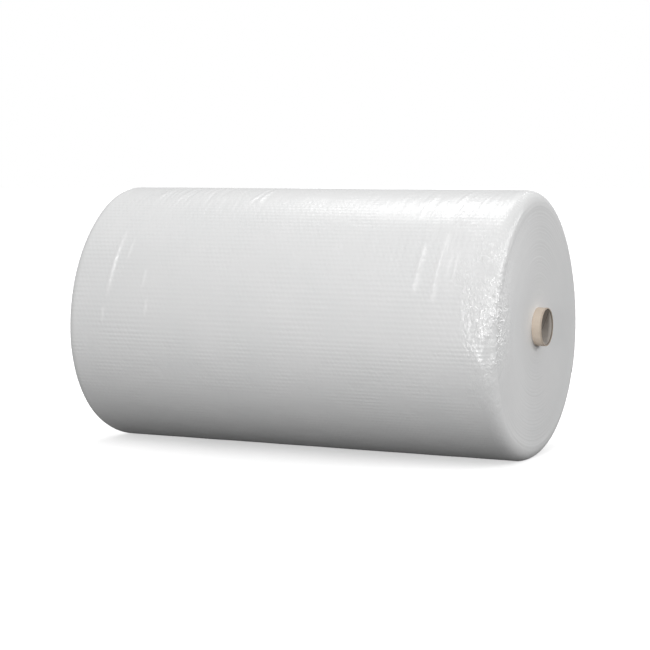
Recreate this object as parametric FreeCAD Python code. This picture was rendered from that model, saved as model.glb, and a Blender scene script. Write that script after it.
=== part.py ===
import FreeCAD, Part
import math
import os

from FreeCAD import Vector

os.makedirs("parts", exist_ok=True)

# A big roll of air-bubble cushioning film, lying on its side as it settles on a floor.
# Millimetres. +X runs along the roll, +Z is up, and the origin is on the floor under the
# middle of the core.

# Wound film
roll_height = 575.0         # floor to the top of the roll
web_width = 1000.0          # width of the film, so the length of the wound part
web_thickness = 2.6         # one turn of film, pulled tight
sag = 4.9                   # how far the soft roll's section leaves a circle
flat_spot_width = 90.0      # the strip that the roll's weight presses flat
near_edge_round = 30.0      # turned-in edge of the outer turns at the +X end
far_edge_round = 22.0       # the same at the -X end
edge_steps = 3              # straight steps in each rounded edge

# Rows of bubbles, which run along the roll under its tight outer turn
row_pitch = 9.85            # from row to row, round the roll
row_height = 0.8            # how far a row stands out of the film under it
row_cover = 0.1             # film left in the hollow between two rows
row_margin = 3.0            # from the end of a row to the turned-in edge

# The last turn's free end, a step of one web that fades out round the roll
free_end_angle = 115.0      # degrees from the top, towards +Y
free_end_fade = 60.0        # degrees

# The film wandered sideways as it was wound: in each group of turns it drifts towards +X,
# and then it jumps back within one turn
group_count = 6
group_drift = 2.0           # the widest drift in one group
inner_recess = 0.5          # from the outer turns in to the drifting ones, at each end

# Paper core
core_bore = 76.0
core_wall = 3.0
core_overhang = 20.0        # how far the core stands out of the film at each end
core_drop = 2.5             # the core's axis lies this far under the roll's mid-height
core_edge = 0.6             # broken corner at each cut end

# The section is six tangent arcs of 60 degrees, in turn tight and slack: tight at the top and
# at the two lower shoulders, slack at the underside. The tight arcs' centres lie lobe_offset
# out from the section's centre, and the slack ones' as far the other way.
lobe_offset = 2 * sag / (2 - math.sqrt(3))
half_height = roll_height / 2
underside_radius = half_height - sag + lobe_offset
floor_dip = underside_radius - math.sqrt(underside_radius ** 2 - (flat_spot_width / 2) ** 2)
mean_radius = (roll_height + floor_dip) / 2
tight_radius = mean_radius + sag - lobe_offset
slack_radius = mean_radius - sag + lobe_offset
section_height = roll_height - mean_radius - sag
core_outer = core_bore + 2 * core_wall
core_length = web_width + 2 * core_overhang
core_height = half_height - core_drop
row_count = round(2 * math.pi * mean_radius / row_pitch)


def direction(angle):
    """The way out of the roll at an angle in degrees from the top, towards +Y."""
    return Vector(0, math.sin(math.radians(angle)), math.cos(math.radians(angle)))


def outer_arc(angle):
    """Centre and radius of the arc of the outline that faces this way."""
    sector = round(angle / 60)
    offset, radius = (lobe_offset, tight_radius) if sector % 2 == 0 else (-lobe_offset, slack_radius)
    return Vector(0, 0, section_height) + direction(60 * sector) * offset, radius


def outline_point(angle, inset, x):
    """A point of the section, inset from the tops of the rows."""
    centre, radius = outer_arc(angle)
    return Vector(x, 0, 0) + centre + direction(angle) * (radius - inset)


def free_end_step(angle):
    """How far the film lies under the outline just past the last turn's free end."""
    past = (angle - free_end_angle) % 360
    return web_thickness * max(0, 1 - past / free_end_fade)


def section_loop(inset, x):
    """The whole outline of the section, inset from the tops of the rows."""
    arcs = []
    for sector in range(6):
        centre, radius = outer_arc(60 * sector)
        ends = [Vector(x, 0, 0) + centre + direction(60 * sector + turn) * (radius - inset)
                for turn in (-30, 0, 30)]
        arcs.append(Part.Arc(*ends).toShape())
    return Part.Wire(arcs)


def cylinder_along_x(diameter, length):
    start = Vector(-length / 2, 0, core_height)
    return Part.makeCylinder(diameter / 2, length, start, Vector(1, 0, 0))


def end_edges(shape, x):
    return [edge for edge in shape.Edges if abs(edge.CenterOfMass.x - x) < 0.01]


def edge_loops(side, edge_round):
    """The turned-in edge at one end, from the end face out to the straight part of the roll."""
    loops = []
    for step in range(edge_steps + 1):
        turn = math.radians(90 * step / edge_steps)
        back = edge_round * (1 - math.cos(turn))
        inset = row_height + edge_round * (1 - math.sin(turn))
        loops.append(section_loop(inset, side * (web_width / 2 - back)))
    return loops


def soft_body():
    """The film under its rows, as one body, less the step past the last turn's free end."""
    loops = edge_loops(-1, far_edge_round) + edge_loops(1, near_edge_round)[::-1]
    body = Part.makeLoft(loops, True, True)
    step_angles = [free_end_angle + free_end_fade * share for share in (0, 0.5, 1)]
    left = -web_width / 2
    under = [outline_point(angle, row_height + free_end_step(angle), left) for angle in step_angles]
    over = [outline_point(angle, -row_height, left) for angle in step_angles]
    step = Part.Wire([Part.Arc(*under).toShape(), Part.makeLine(under[2], over[2]),
                      Part.Arc(*reversed(over)).toShape(), Part.makeLine(over[0], under[0])])
    return body.cut(Part.Face(step).extrude(Vector(web_width, 0, 0)))


def bubble_rows():
    """All rows as one fluted prism, which covers the body between its turned-in edges."""
    left = -web_width / 2 + far_edge_round + row_margin
    right = web_width / 2 - near_edge_round - row_margin
    hollow = row_height - row_cover

    def point(row, inset):
        angle = free_end_angle + 360 * row / row_count
        return outline_point(angle, inset + free_end_step(angle), left)

    before_step = outline_point(free_end_angle, hollow, left)
    rows = []
    for row in range(row_count):
        end = point(row + 1, hollow) if row < row_count - 1 else before_step
        rows.append(Part.Arc(point(row, hollow), point(row + 0.5, 0), end).toShape())
    free_end = Part.makeLine(before_step, point(0, hollow))
    outline = Part.Wire(rows + [free_end])
    return Part.Face(outline).extrude(Vector(right - left, 0, 0))


def above_floor():
    size = web_width + roll_height
    return Part.makeBox(size, size, size, Vector(-size / 2, -size / 2, 0))


def drift_hollow(side, edge_round):
    """The air in front of the drifting turns at one end. They still lie round about the core."""
    end = side * web_width / 2
    reach = core_height - edge_round - 2 * sag
    spacing = (reach - core_outer / 2) / group_count

    def point(radius, depth):
        return Vector(end - side * depth, 0, core_height + radius)

    points = [point(core_bore / 2, -inner_recess), point(core_bore / 2, inner_recess)]
    for group in range(group_count):
        drift = group_drift * (0.75 + 0.25 * math.sin(2.4 * group))
        inner = core_outer / 2 + spacing * group
        first, last = (drift, 0) if side > 0 else (0, drift)
        points.append(point(inner + web_thickness / 2, inner_recess + first))
        points.append(point(inner + spacing - web_thickness / 2, inner_recess + last))
    points.append(point(reach, -inner_recess))
    profile = Part.Face(Part.makePolygon(points + points[:1]))
    return profile.revolve(Vector(0, 0, core_height), Vector(1, 0, 0), 360)


def make_film_turns():
    body = soft_body().fuse(bubble_rows()).common(above_floor())
    body = body.cut(cylinder_along_x(core_outer, core_length))
    body = body.cut(drift_hollow(1, near_edge_round))
    return body.cut(drift_hollow(-1, far_edge_round))


def make_core_tube():
    wall = cylinder_along_x(core_outer, core_length).cut(cylinder_along_x(core_bore, core_length))
    cut_ends = end_edges(wall, core_length / 2) + end_edges(wall, -core_length / 2)
    return wall.makeChamfer(core_edge, cut_ends)


make_core_tube().exportStep("parts/core_tube.step")
make_film_turns().exportStep("parts/film_turns.step")
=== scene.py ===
import math

import bmesh
import bpy
import numpy as np
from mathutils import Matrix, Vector, noise


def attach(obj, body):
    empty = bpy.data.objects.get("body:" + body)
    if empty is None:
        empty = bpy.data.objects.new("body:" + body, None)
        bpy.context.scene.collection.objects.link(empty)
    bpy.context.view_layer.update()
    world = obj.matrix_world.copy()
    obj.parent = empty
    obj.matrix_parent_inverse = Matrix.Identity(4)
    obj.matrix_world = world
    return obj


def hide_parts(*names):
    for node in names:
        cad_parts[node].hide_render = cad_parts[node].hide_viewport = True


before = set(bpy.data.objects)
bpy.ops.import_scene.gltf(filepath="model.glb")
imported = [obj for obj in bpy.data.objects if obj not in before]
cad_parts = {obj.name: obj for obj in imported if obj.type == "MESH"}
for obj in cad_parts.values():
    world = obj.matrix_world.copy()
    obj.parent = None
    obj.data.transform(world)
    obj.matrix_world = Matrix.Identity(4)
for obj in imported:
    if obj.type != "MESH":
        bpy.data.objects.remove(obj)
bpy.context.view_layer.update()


# Paper core tube
# A thin tube of brown paper board, wound as a spiral from glued strips and sawn off square at
# both ends. The film is wound straight onto it, and it stands 20 mm out of the film at each end.
core_outer_radius = 0.041
core_height = 0.285
core_length = 1.04
strip_width = 0.105
seam_share = 0.012
sawn_edge = 0.003
inside_radius = 0.0385


def new_material(name):
    """An empty node material with a Principled shader, its tree and that shader."""
    material = bpy.data.materials.new(name)
    material.use_nodes = True
    tree = material.node_tree
    return material, tree, tree.nodes["Principled BSDF"]


def add_node(tree, kind, values=(), **settings):
    """A node with its settings, and values as pairs of socket and number, colour or link."""
    node = tree.nodes.new(kind)
    for key, value in settings.items():
        setattr(node, key, value)
    for socket, value in values:
        if isinstance(value, bpy.types.NodeSocket):
            tree.links.new(value, node.inputs[socket])
        else:
            node.inputs[socket].default_value = value
    return node


def add_math(tree, operation, first, second=0.5, third=0.5):
    """A maths node on up to three numbers or links. Returns its result."""
    pairs = [(0, first), (1, second), (2, third)]
    return add_node(tree, "ShaderNodeMath", pairs, operation=operation).outputs[0]


def add_noise(tree, place, scale, detail, distortion=0):
    """Soft noise over these places."""
    values = [("Vector", place), ("Scale", scale), ("Detail", detail), ("Distortion", distortion)]
    return add_node(tree, "ShaderNodeTexNoise", values).outputs[0]


def add_mix(tree, share, first, second):
    """Two colours mixed, with this share of the second one."""
    return add_node(tree, "ShaderNodeMixRGB", [(0, share), (1, first), (2, second)]).outputs[0]


def add_bump(tree, height, strength, distance):
    """The normal of a surface with this fine relief."""
    values = [("Height", height), ("Strength", strength), ("Distance", distance)]
    return add_node(tree, "ShaderNodeBump", values).outputs[0]


def add_from_axis(tree, axes, above_axis):
    """How far each place lies from the core's axis."""
    squares = add_math(tree, "MULTIPLY", above_axis, above_axis)
    return add_math(tree, "SQRT", add_math(tree, "MULTIPLY_ADD", axes["Y"], axes["Y"], squares))


def add_ramp(tree, factor, stops):
    """A colour ramp whose stops are pairs of place and colour."""
    node = add_node(tree, "ShaderNodeValToRGB", [(0, factor)])
    ramp = node.color_ramp
    while len(ramp.elements) < len(stops):
        ramp.elements.new(0.5)
    for element, (place, colour) in zip(ramp.elements, stops):
        element.position = place
        element.color = colour
    return node.outputs[0]


core_paper, tree, shader = new_material("core_paper")
place = add_node(tree, "ShaderNodeTexCoord").outputs["Object"]
axes = add_node(tree, "ShaderNodeSeparateXYZ", [(0, place)]).outputs
fibres = add_node(tree, "ShaderNodeMapping", [(0, place), ("Scale", (60, 900, 900))]).outputs[0]
grain = add_noise(tree, fibres, 5, 6)
blotches = add_noise(tree, place, 55, 3)
paper_tone = add_math(tree, "MULTIPLY_ADD", grain, 0.6, add_math(tree, "MULTIPLY", blotches, 0.4))
paper_colour = add_ramp(tree, paper_tone, [(0.3, (0.63, 0.53, 0.43, 1)), (0.7, (0.82, 0.71, 0.60, 1))])
above_axis = add_math(tree, "SUBTRACT", axes["Z"], core_height)
turned = add_math(tree, "DIVIDE", add_math(tree, "ARCTAN2", axes["Y"], above_axis), 2 * math.pi)
spiral = add_math(tree, "FRACT", add_math(tree, "MULTIPLY_ADD", axes["X"], 1 / strip_width, turned))
seam = add_math(tree, "LESS_THAN", spiral, seam_share)
inside = add_math(tree, "LESS_THAN", add_from_axis(tree, axes, above_axis), inside_radius)
from_middle = add_math(tree, "ABSOLUTE", axes["X"])
# The sawn ends are a little darker, a dark cut edge, and just inside the tube's mouth much darker:
# painted shade inside the mouth.
sawn_edge_and_mouth_shade = add_math(tree, "GREATER_THAN", from_middle, core_length / 2 - sawn_edge)
sawn_edge_and_mouth_shade = add_math(tree, "MULTIPLY", sawn_edge_and_mouth_shade, add_math(tree, "ADD", inside, 0.5))
seam_sawn_and_mouth_shade = add_math(tree, "MULTIPLY", add_math(tree, "MAXIMUM", seam, sawn_edge_and_mouth_shade), 0.5)
inside_grey = (0.72, 0.71, 0.70, 1)
paper_colour = add_mix(tree, add_math(tree, "MULTIPLY", inside, 0.6), paper_colour, inside_grey)
dark_brown = (0.16, 0.12, 0.08, 1)
paper_colour = add_mix(tree, seam_sawn_and_mouth_shade, paper_colour, dark_brown)
tree.links.new(paper_colour, shader.inputs["Base Color"])
paper_height = add_math(tree, "SUBTRACT", grain, add_math(tree, "MULTIPLY", seam, 0.8))
tree.links.new(add_bump(tree, paper_height, 0.35, 0.0004), shader.inputs["Normal"])
shader.inputs["Roughness"].default_value = 0.85
core_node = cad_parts["core_tube"]
for material_slot in core_node.material_slots:
    material_slot.material = core_paper


# Wound bubble film
# One web of clear polythene film with a lattice of air bubbles, wound in about 95 turns. Its
# outer turn is pulled smooth over the bubbles, its edges turn in at both ends, and it settles
# into a soft, slightly three-cornered section on the strip that its weight presses flat.
roll_height = 0.575
web_width = 1.0
web_thickness = 0.0026
sag = 0.0049                # how far the soft roll's section leaves a circle
flat_spot_width = 0.09
near_edge_round = 0.03
far_edge_round = 0.022
bubble_depth = 0.0008
bubble_radius = 0.0049
row_share = 0.2             # how much of the relief runs on between the bubbles of a row
row_count = 184
steps_per_row = 4           # mesh steps round the roll for each row
columns = 386               # mesh steps along the roll, four for each bubble
end_turns = 83              # turns drawn on each end face
rim_turns = 4               # those of them over which the face sinks in
turn_relief = 0.00012       # the groove between two turns
turn_wander = 0.0001        # how far single turns stand out or in
group_count = 6
group_drift = 0.002
drift_share = 0.12          # how much of the groups' drift shows
inner_recess = 0.0005
free_end_angle = math.radians(115)
free_end_fade = math.radians(60)
weld_gap = 0.0008           # points nearer than this are one
same_plane = 0.00001
lobe_offset = 2 * sag / (2 - math.sqrt(3))
underside_radius = roll_height / 2 - sag + lobe_offset
floor_dip = underside_radius - math.sqrt(underside_radius ** 2 - (flat_spot_width / 2) ** 2)
mean_radius = (roll_height + floor_dip) / 2
section_height = roll_height - mean_radius - sag
row_steps = row_count * steps_per_row


def section_points(angle, inset):
    """Y and Z of the roll's section at these angles from the top, inset from its outline."""
    sector = np.round(angle / (math.pi / 3))
    tight = sector % 2 == 0
    offset = np.where(tight, lobe_offset, -lobe_offset)
    radius = mean_radius - offset + np.where(tight, sag, -sag) - inset
    y = np.sin(sector * math.pi / 3) * offset + np.sin(angle) * radius
    z = section_height + np.cos(sector * math.pi / 3) * offset + np.cos(angle) * radius
    return y, np.maximum(z, 0)


def free_end_step(angle):
    """How far the film lies under the outline past the last turn's free end."""
    return web_thickness * np.maximum(0, 1 - (angle - free_end_angle) / free_end_fade)


def edge_profile(along):
    """For places along the web's width: x, the inset, and how far the film faces along and out."""
    far_arc = far_edge_round * math.pi / 2
    near_arc = near_edge_round * math.pi / 2
    straight = web_width - far_edge_round - near_edge_round
    far = np.clip(along / far_edge_round, 0, math.pi / 2)
    near = np.clip((far_arc + straight + near_arc - along) / near_edge_round, 0, math.pi / 2)
    x = -web_width / 2 + far_edge_round + np.clip(along - far_arc, 0, straight)
    x = x - far_edge_round * np.cos(far) + near_edge_round * np.cos(near)
    inset = far_edge_round * (1 - np.sin(far)) + near_edge_round * (1 - np.sin(near))
    return x, inset, np.cos(near) - np.cos(far), np.sin(far) * np.sin(near)


profile_length = web_width + (far_edge_round + near_edge_round) * (math.pi / 2 - 1)
bubble_pitch = profile_length / columns * 4
along = np.linspace(0, profile_length, columns + 1)[None, :]
row_place = np.linspace(0, row_count, row_steps + 1)[:, None]
film_angle = free_end_angle + row_place * 2 * math.pi / row_count
profile_x, profile_inset, facing_x, facing_out = edge_profile(along)

row = np.minimum(np.floor(row_place), row_count - 1)
from_centre = along / bubble_pitch - 0.5 * (row % 2)
from_centre = (from_centre - np.round(from_centre)) * bubble_pitch
from_crest = (row_place - row - 0.5) * 2 * math.pi * mean_radius / row_count
dome = np.sqrt(np.clip(1 - (from_centre ** 2 + from_crest ** 2) / bubble_radius ** 2, 0, 1))
ridge = np.sqrt(np.clip(1 - from_crest ** 2 / bubble_radius ** 2, 0, 1))
to_edge = np.minimum(along, profile_length - along)
front_angle = np.degrees(film_angle) - 360
arc_place = np.radians(front_angle) * mean_radius
shape = (row_steps + 1, columns + 1)
patch_edge = 1.6


def noise_field(cell_x, cell_round, seed):
    """Smooth noise over the outer turn, with cells of this size along and round the roll."""
    values = [
        noise.noise((x / cell_x, place / cell_round, seed))
        for place in arc_place[:, 0]
        for x in profile_x[0]
    ]
    return np.array(values).reshape(shape)


def patch(x, angle, half_x, half_angle):
    """A soft-edged patch of the outer turn, 1 at its middle."""
    along_roll = (profile_x - x) / half_x
    around = (front_angle - angle) / half_angle
    return np.exp(-patch_edge * (along_roll ** 2 + around ** 2))


def patches(spots):
    """Soft-edged patches together, each with its strength, place and half sizes."""
    return sum(strength * patch(*spot) for strength, *spot in spots)


# Folds pulled round the roll, each with its place along it, its first and last angle, its half
# width and its height
folds = (
    (-0.397, -46, -77, 0.0044, 0.0018),
    (-0.408, -80, -87, 0.0030, 0.0011),
    (-0.366, -50, -62, 0.0032, 0.0008),
    (-0.313, -64, -73, 0.0030, 0.0009),
    (-0.300, -76, -84, 0.0030, 0.0010),
    (0.327, -50, -72, 0.0052, 0.0016),
    (0.370, -45, -75, 0.0060, 0.0022),
    (0.392, -50, -66, 0.0030, 0.0005),
    (0.406, -52, -70, 0.0030, 0.0006),
    (0.432, -56, -76, 0.0030, 0.0005),
    (-0.365, -4, -33, 0.0040, 0.0007),
    (-0.310, -3, -31, 0.0042, 0.0009),
    (-0.122, -5, -30, 0.0045, 0.0008),
    (-0.105, -6, -29, 0.0045, 0.0009),
    (0.300, -12, -40, 0.0045, 0.0006),
    (0.365, -10, -42, 0.0045, 0.0006),
)
fold_sway = 0.004
fold_height = np.zeros(shape)
for fold_x, first_angle, last_angle, half_width, height in folds:
    middle = (first_angle + last_angle) / 2
    half_angle = (first_angle - last_angle) / 2
    sway = fold_sway * np.sin(np.radians(4 * (front_angle - middle)))
    across = (profile_x - fold_x - sway) / half_width
    ends = np.clip(1 - ((front_angle - middle) / half_angle) ** 2, 0, 1)
    fold_height = fold_height + height * ends * np.exp(-across ** 2)

# Fine creases along the pull of the film
pulled_spots = ((1.3, 0.38, -30, 0.20, 30), (1.3, -0.28, -16, 0.20, 22), (0.4, 0.42, -62, 0.12, 28))
pulled_height = 0.0006
crease_share = 0.45
pulled = noise_field(cell_x=0.011, cell_round=0.11, seed=3.1)
pulled = np.clip(crease_share - np.abs(pulled), 0, 1) / crease_share
pulled_everywhere = 0.2
pulled_strength = pulled_everywhere + patches(pulled_spots)

# Crinkles, mostly by the near turned-in edge
crinkled_spots = (
    (1.15, 0.481, -82, 0.034, 34),
    (0.75, 0.445, -66, 0.04, 18),
    (0.2, 0.41, -28, 0.11, 17),
    (0.12, 0.5, -120, 0.03, 200),
    (0.35, 0.49, -56, 0.02, 15),
)
crinkled_height = 0.0008
crinkled = noise_field(cell_x=0.007, cell_round=0.009, seed=7.7)
crinkled = crinkled + 0.9 * noise_field(cell_x=0.0055, cell_round=0.025, seed=5.2)
broken_up = 0.85 + 1.2 * noise_field(cell_x=0.025, cell_round=0.035, seed=9.4)
crinkle_strength = patches(crinkled_spots) * np.clip(broken_up, 0, 1.5)
crinkle_share = np.clip(crinkle_strength, 0, 1)

# How far the bubbles show: everywhere a little, and more on the front and on the back, where
# the outer turn is slack
slack_angle = -70
slack_reach = 40
shown_everywhere = 0.40
shown_in_front = 0.45
shown_behind = 0.3
from_slack = np.abs(front_angle - slack_angle) / slack_reach
shown = shown_everywhere + shown_in_front * np.clip(1 - from_slack, 0, 1)
shown = shown + shown_behind * np.clip(from_slack - 2, 0, 1)
shown = shown + 0.6 * noise_field(cell_x=0.06, cell_round=0.05, seed=1.3)
shown = np.clip(shown, 0.15, 1)
bubble_fade = 0.02
sheet_fade = 0.008
sheet = fold_height + pulled_height * pulled * pulled_strength
sheet = sheet + crinkled_height * crinkled * crinkle_strength
lattice = (row_share * ridge + (1 - row_share) * dome) * np.clip(to_edge / bubble_fade, 0, 1)
relief = bubble_depth * (lattice * shown * (1 - 0.5 * crinkle_share) - 1)
relief = relief + sheet * np.clip(to_edge / sheet_fade, 0, 1)

film_x = profile_x + facing_x * relief + 0 * film_angle
film_inset = profile_inset - facing_out * relief + free_end_step(film_angle)
film_y, film_z = section_points(film_angle, film_inset)
film_points = np.stack([film_x, film_y, film_z], axis=2)


def film_normals(points):
    """The smooth outward normal at each point of the outer turn."""
    round_roll = np.gradient(points, axis=0)
    across_roll = np.gradient(points, axis=1)
    normal = np.cross(across_roll, round_roll)
    return normal / np.linalg.norm(normal, axis=2, keepdims=True)


film_normal = film_normals(film_points)
face_angle = free_end_angle + np.linspace(0, 2 * math.pi, row_count + 1)[:, None]


def end_face_points(side):
    """The edges of the turns at one end, from the turned-in outer turns to the core."""
    edge_round = near_edge_round if side > 0 else far_edge_round
    half_turns = np.arange(2 * end_turns + 1)[None, :]
    share = half_turns / (2 * end_turns)
    step = free_end_step(face_angle) * np.clip(1 - half_turns / (2 * rim_turns), 0, 1)
    outer_y, outer_z = section_points(face_angle, edge_round + bubble_depth + step)
    core_y = core_outer_radius * np.sin(face_angle)
    core_z = core_height + core_outer_radius * np.cos(face_angle)
    y = outer_y + (core_y - outer_y) * share
    z = outer_z + (core_z - outer_z) * share
    place_in_groups = (1 - share) * group_count
    group = np.clip(np.floor(place_in_groups), 0, group_count - 1)
    drift = group_drift * (0.75 + 0.25 * np.sin(2.4 * group))
    in_group = place_in_groups - group
    depth = drift * (0.5 + side * 0.5 * np.cos(math.pi * in_group)) * drift_share + inner_recess
    depth = depth * np.minimum(1, (share * end_turns) / rim_turns)
    turn = np.floor(half_turns / 2)
    depth = depth + turn_wander * np.sin(2.9 * turn) * np.sin(5.3 * turn + 1) * np.minimum(1, turn)
    depth = depth + turn_relief * (half_turns % 2)
    x = side * (web_width / 2 - depth) + 0 * y
    points = np.stack([x, y, z], axis=2)
    points[:, 0] = film_points[::steps_per_row, -1 if side > 0 else 0]
    return points


def face_patch(share, angle, half_share, half_angle):
    """A soft-edged patch of an end face, at a share of the way from its rim to the core."""
    across = (np.linspace(0, 1, 2 * end_turns + 1)[None, :] - share) / half_share
    around = (np.degrees(face_angle) - 360 - angle) / half_angle
    return np.exp(-patch_edge * (across ** 2 + around ** 2))


# How glossy the end faces and the outer turn are. The same share also whitens the film's colour: a
# painted highlight on the folds, creases, crinkles and end faces. The near rim gets less of both.
face_crinkle = 0.8 * face_patch(0, -84, 0.4, 26)
face_gloss_and_highlight = np.clip(face_crinkle + 0.4 * face_patch(0.1, -60, 0.55, 50), 0, 1)
fold_gloss_and_highlight = 1500
pulled_gloss_and_highlight = 0.14
gloss_and_highlight_share = crinkle_share + fold_gloss_and_highlight * fold_height + pulled_gloss_and_highlight * pulled * pulled_strength
matt_rim = 0.85 * patch(0.5, -28, 0.035, 34)
gloss_and_highlight_share = np.clip(gloss_and_highlight_share, 0, 1) * (1 - matt_rim)


def add_grid(bm, points):
    """A grid of faces whose vertices are moved to these points. Returns its vertices in rows."""
    rows, across = points.shape[:2]
    made = bmesh.ops.create_grid(bm, x_segments=across - 1, y_segments=rows - 1, size=1)["verts"]
    order = sorted(made, key=lambda v: (round(v.co.y * (rows - 1)), round(v.co.x * (across - 1))))
    flat = points.reshape(-1, 3)
    for vertex, point in zip(order, flat):
        vertex.co = point
    return [order[i * across:(i + 1) * across] for i in range(rows)]


def edges_between(chain):
    """The edges along a chain of neighbouring vertices."""
    return [next(e for e in a.link_edges if e.other_vert(a) is b) for a, b in zip(chain, chain[1:])]


def film_piece(name, first, last):
    """One length of the film, closed by its end face or by a flat face against the next length."""
    bm = bmesh.new()
    crinkle_layer = bm.verts.layers.float.new("crinkle")
    gloss_and_highlight_layer = bm.verts.layers.float.new("gloss_and_highlight")
    tunnel_x = [film_points[0, first, 0], film_points[0, last, 0]]
    for side, end in ((-1, first), (1, last)):
        if end in (0, columns):
            face = add_grid(bm, end_face_points(side))
            tunnel_x[min(end, 1)] = face[0][-1].co.x
            for vertices, crinkle_row, gloss_and_highlight_row in zip(face, face_crinkle, face_gloss_and_highlight):
                for vertex, crinkle, gloss_and_highlight in zip(vertices, crinkle_row, gloss_and_highlight_row):
                    vertex[crinkle_layer] = crinkle
                    vertex[gloss_and_highlight_layer] = gloss_and_highlight
            rim = edges_between([vertices[0] for vertices in face])
            bmesh.ops.bisect_edges(bm, edges=rim, cuts=steps_per_row - 1)
    tunnel = np.repeat(end_face_points(1)[:, -1:], 2, axis=1)
    tunnel[:, :, 0] = tunnel_x
    add_grid(bm, tunnel)
    barrel = add_grid(bm, film_points[:, first:last + 1])
    shares = crinkle_share[:, first:last + 1], gloss_and_highlight_share[:, first:last + 1]
    for vertices, crinkle_row, gloss_and_highlight_row in zip(barrel, *shares):
        for vertex, crinkle, gloss_and_highlight in zip(vertices, crinkle_row, gloss_and_highlight_row):
            vertex[crinkle_layer] = crinkle
            vertex[gloss_and_highlight_layer] = gloss_and_highlight
    bmesh.ops.bridge_loops(bm, edges=edges_between(barrel[0]) + edges_between(barrel[-1]))
    for edge in edges_between(barrel[0]) + edges_between(barrel[-1]):
        edge.smooth = False
    bmesh.ops.remove_doubles(bm, verts=[v for v in bm.verts if v.is_boundary], dist=weld_gap)
    cut_rims = {}
    for column, end in ((0, first), (-1, last)):
        if end not in (0, columns):
            cut_rims.update(zip([vertices[column] for vertices in barrel], film_normal[:, end]))
            x = film_points[0, end, 0]
            rims = [e for e in bm.edges if e.is_boundary and abs(e.verts[0].co.x - x) < same_plane]
            bmesh.ops.triangle_fill(bm, use_beauty=True, edges=rims)
    bmesh.ops.holes_fill(bm, edges=[e for e in bm.edges if e.is_boundary], sides=0)
    bmesh.ops.recalc_face_normals(bm, faces=bm.faces)
    if bm.calc_volume(signed=True) < 0:
        bmesh.ops.reverse_faces(bm, faces=bm.faces)
    for face in bm.faces:
        face.smooth = True
    bm.verts.index_update()
    normals = {vertex.index: normal for vertex, normal in cut_rims.items()}
    mesh = bpy.data.meshes.new(name)
    bm.to_mesh(mesh)
    bm.free()
    rim_normals = [normals.get(i, (0, 0, 0)) for i in range(len(mesh.vertices))]
    mesh.normals_split_custom_set_from_vertices(rim_normals)
    piece = bpy.data.objects.new(name, mesh)
    bpy.context.collection.objects.link(piece)
    return piece


def add_smooth_step(tree, value, start, stop):
    """0 up to the start and 1 past the stop, with a smooth step between them."""
    pairs = [("Value", value), ("From Min", start), ("From Max", stop)]
    return add_node(tree, "ShaderNodeMapRange", pairs, interpolation_type="SMOOTHSTEP").outputs[0]


film, tree, shader = new_material("bubble_film")
place = add_node(tree, "ShaderNodeTexCoord").outputs["Object"]
crinkled_here = add_node(tree, "ShaderNodeAttribute", attribute_name="crinkle").outputs["Fac"]
gloss_and_highlight_here = add_node(tree, "ShaderNodeAttribute", attribute_name="gloss_and_highlight").outputs["Fac"]
haze = add_noise(tree, place, 9, 5)
film_colour = add_ramp(tree, haze, [(0.3, (0.845, 0.85, 0.85, 1)), (0.7, (0.875, 0.875, 0.875, 1))])
# Where the film is glossy, its colour is also mixed towards white: a painted highlight.
painted_highlight_white = (0.97, 0.97, 0.97, 1)
film_colour = add_mix(tree, add_math(tree, "MULTIPLY", gloss_and_highlight_here, 0.75), film_colour, painted_highlight_white)
tree.links.new(film_colour, shader.inputs["Base Color"])
drawn_out = add_node(tree, "ShaderNodeMapping", [(0, place), ("Scale", (1, 0.55, 0.55))]).outputs[0]
crinkle = add_noise(tree, drawn_out, 190, 3, 0.6)
crinkle_depth = 0.006
grain_depth = 0.0003
crinkle_height = add_math(tree, "MULTIPLY_ADD", crinkled_here, crinkle_depth, grain_depth)
crinkle_height = add_math(tree, "MULTIPLY", crinkle, crinkle_height)

# Scattered bubbles that stand clear of the sheet and glint
pockets_per_metre = 150
pocket_depth = 0.0015
pocket_width = 0.35
fade_start = 0.45
fade_end = 0.49
cells = add_node(tree, "ShaderNodeTexVoronoi", [("Vector", place), ("Scale", pockets_per_metre)])
pocket = cells.outputs["Distance"]
scatter = add_noise(tree, place, 31, 2)
scatter = add_ramp(tree, scatter, [(0.50, (0, 0, 0, 1)), (0.70, (1, 1, 1, 1))])
axes = add_node(tree, "ShaderNodeSeparateXYZ", [(0, place)]).outputs
from_middle = add_math(tree, "ABSOLUTE", axes["X"])
off_edge = add_ramp(tree, from_middle, [(fade_start, (1, 1, 1, 1)), (fade_end, (0, 0, 0, 1))])
scatter = add_math(tree, "MULTIPLY", scatter, off_edge)
pocket = add_math(tree, "MULTIPLY", add_math(tree, "MINIMUM", pocket, pocket_width), scatter)
crinkle_height = add_math(tree, "MULTIPLY_ADD", pocket, -pocket_depth, crinkle_height)

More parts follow.
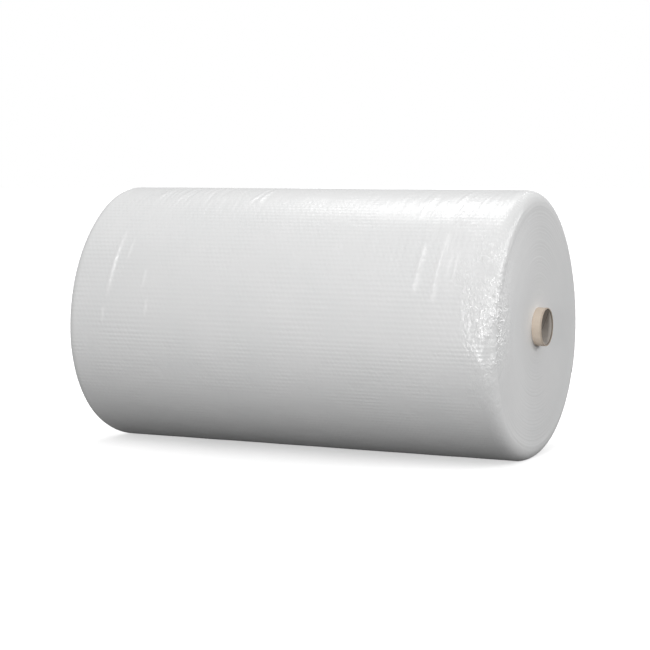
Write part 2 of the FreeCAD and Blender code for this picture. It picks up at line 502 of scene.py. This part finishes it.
# The outer part of each end is cushioned, and its shading leans towards the light in front.
# The lean grows between these distances from the core's axis, and from back to front.
cushion_lean = 0.45
inner_distances = 0.06, 0.19
outer_distances = 0.284, 0.24
back_to_front = 0.02, -0.2
above_axis = add_math(tree, "SUBTRACT", axes["Z"], core_height)
from_axis = add_from_axis(tree, axes, above_axis)
cushion_in = add_smooth_step(tree, from_axis, *inner_distances)
cushion_out = add_smooth_step(tree, from_axis, *outer_distances)
in_front = add_smooth_step(tree, axes["Y"], *back_to_front)
lean = add_math(tree, "MULTIPLY", add_math(tree, "MULTIPLY", cushion_in, cushion_out), in_front)
lean = add_math(tree, "MULTIPLY", lean, -cushion_lean)
lean = add_node(tree, "ShaderNodeCombineXYZ", [("Y", lean)]).outputs[0]
for strength, socket in ((0.5, "Normal"), (1, "Coat Normal")):
    bump = add_bump(tree, crinkle_height, strength, 1)
    leaning = add_node(tree, "ShaderNodeVectorMath", [(0, bump), (1, lean)], operation="ADD").outputs[0]
    leaning = add_node(tree, "ShaderNodeVectorMath", [(0, leaning)], operation="NORMALIZE").outputs[0]
    tree.links.new(leaning, shader.inputs[socket])
shader.inputs["Roughness"].default_value = 0.36
gloss_and_highlight_here = add_math(tree, "MAXIMUM", gloss_and_highlight_here, add_math(tree, "MULTIPLY", scatter, 0.2))
tree.links.new(add_math(tree, "MULTIPLY_ADD", gloss_and_highlight_here, 0.9, 0.1), shader.inputs["Coat Weight"])
tree.links.new(add_math(tree, "MULTIPLY_ADD", crinkled_here, -0.12, 0.3), shader.inputs["Coat Roughness"])
shader.inputs["Coat IOR"].default_value = 2.2

# The one web, in four lengths that are cut at these columns to keep each mesh small enough
lengths = [0, 64, 193, 322, columns]
film_names = ["film_far_end", "film_far_middle", "film_near_middle", "film_near_end"]
for name, first, last in zip(film_names, lengths, lengths[1:]):
    piece = film_piece(name, first, last)
    piece.data.materials.append(film)
    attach(piece, "root")
    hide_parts("film_turns")


# Studio
# A plain pale floor under soft white lamps: one above and a little behind, one in front and
# one beside the near end, with small ones for the film's streaks and glints. The camera
# stands low and well to the right.
floor_mesh = bpy.data.meshes.new("floor")
bm = bmesh.new()
bmesh.ops.create_circle(bm, cap_ends=True, segments=64, radius=40)
bm.to_mesh(floor_mesh)
bm.free()
floor = bpy.data.objects.new("floor", floor_mesh)
bpy.context.collection.objects.link(floor)

floor_white, tree, shader = new_material("floor_white")
tree.nodes.remove(shader)
rays = add_node(tree, "ShaderNodeLightPath").outputs
gloss_seen = add_math(tree, "MULTIPLY", rays["Is Glossy Ray"], 0.2)
seen = add_math(tree, "MAXIMUM", rays["Is Camera Ray"], gloss_seen)
seen = add_math(tree, "MAXIMUM", seen, rays["Is Transmission Ray"])
place = add_node(tree, "ShaderNodeTexCoord").outputs["Object"]
distance = add_node(tree, "ShaderNodeVectorMath", [(0, place)], operation="LENGTH").outputs["Value"]
# The floor's own glow is weaker near the roll: painted shade on the floor around it, which also shows in
# the film's reflection of the floor.
glow_radius = 2.5
own_light_and_painted_shade = add_ramp(tree, add_math(tree, "MULTIPLY", distance, 1 / glow_radius), [
    (0.10, (0.48, 0.48, 0.48, 1)),
    (0.40, (0.70, 0.70, 0.70, 1)),
    (1.00, (1, 1, 1, 1)),
])
glow = add_node(tree, "ShaderNodeEmission", [(0, own_light_and_painted_shade), (1, 1)])
lit = add_node(tree, "ShaderNodeBsdfDiffuse", [(0, (0.9, 0.9, 0.9, 1))])
dim = add_node(tree, "ShaderNodeBsdfDiffuse", [(0, (0.07, 0.07, 0.07, 1))])
pale = add_node(tree, "ShaderNodeAddShader", [(0, lit.outputs[0]), (1, glow.outputs[0])])
both = add_node(tree, "ShaderNodeMixShader", [(0, seen), (1, dim.outputs[0]), (2, pale.outputs[0])])
tree.links.new(both.outputs[0], tree.nodes["Material Output"].inputs["Surface"])
floor_mesh.materials.append(floor_white)

world = bpy.data.worlds.new("studio")
bpy.context.scene.world = world
world.use_nodes = True
tree = world.node_tree
rays = add_node(tree, "ShaderNodeLightPath").outputs
seen = add_math(tree, "MAXIMUM", rays["Is Camera Ray"], rays["Is Transmission Ray"])
room = tree.nodes["Background"]
room.inputs["Color"].default_value = (0.52, 0.52, 0.52, 1)
white = add_node(tree, "ShaderNodeBackground", [(0, (1, 1, 1, 1)), (1, 1)])
sky = add_node(tree, "ShaderNodeMixShader", [(0, seen), (1, room.outputs[0]), (2, white.outputs[0])])
tree.links.new(sky.outputs[0], tree.nodes["World Output"].inputs["Surface"])


def add_lamp(name, eye, target, width, height, power):
    """A soft rectangular lamp that faces its target."""
    lamp = bpy.data.lights.new(name, "AREA")
    lamp.shape = "RECTANGLE"
    lamp.size = width
    lamp.size_y = height
    lamp.energy = power
    holder = bpy.data.objects.new(name, lamp)
    holder.location = eye
    holder.rotation_mode = "QUATERNION"
    holder.rotation_quaternion = (Vector(target) - Vector(eye)).to_track_quat("-Z", "Y")
    bpy.context.collection.objects.link(holder)


add_lamp("overhead_strip", (-0.2, 0.8, 2.5), (-0.1, 0, 0.4), 1.6, 0.5, 14.5)
add_lamp("front_light", (0.8, -3.5, 0.55), (0, 0, 0.3), 0.5, 0.4, 43)
add_lamp("front_strip", (-0.5, -1.8, 2.6), (0.1, 0, 0.35), 0.2, 2.4, 8.2)
add_lamp("back_high", (0.6, 2.4, 2.4), (0, 0, 0.4), 0.3, 0.3, 2.5)
add_lamp("side_light", (3.4, 0.3, 1.2), (0, 0, 0.3), 1.8, 1.6, 27)
add_lamp("side_glint", (2.9, 1.6, 1.4), (0.4, 0, 0.3), 0.4, 0.4, 8)

camera_target = Vector((-0.0017, 0, 0.2695))
camera_azimuth = math.radians(25.283)
camera_elevation = math.radians(5.048)
camera_distance = 4.1505
camera_back = Vector((
    math.sin(camera_azimuth) * math.cos(camera_elevation),
    -math.cos(camera_azimuth) * math.cos(camera_elevation),
    math.sin(camera_elevation),
))
lens = bpy.data.cameras.new("camera")
lens.sensor_width = 36
lens.lens = 102.46
camera = bpy.data.objects.new("camera", lens)
camera.location = camera_target + camera_back * camera_distance
camera.rotation_mode = "QUATERNION"
camera.rotation_quaternion = (-camera_back).to_track_quat("-Z", "Y")
bpy.context.collection.objects.link(camera)
bpy.context.scene.camera = camera
bpy.context.scene.view_settings.view_transform = "Standard"
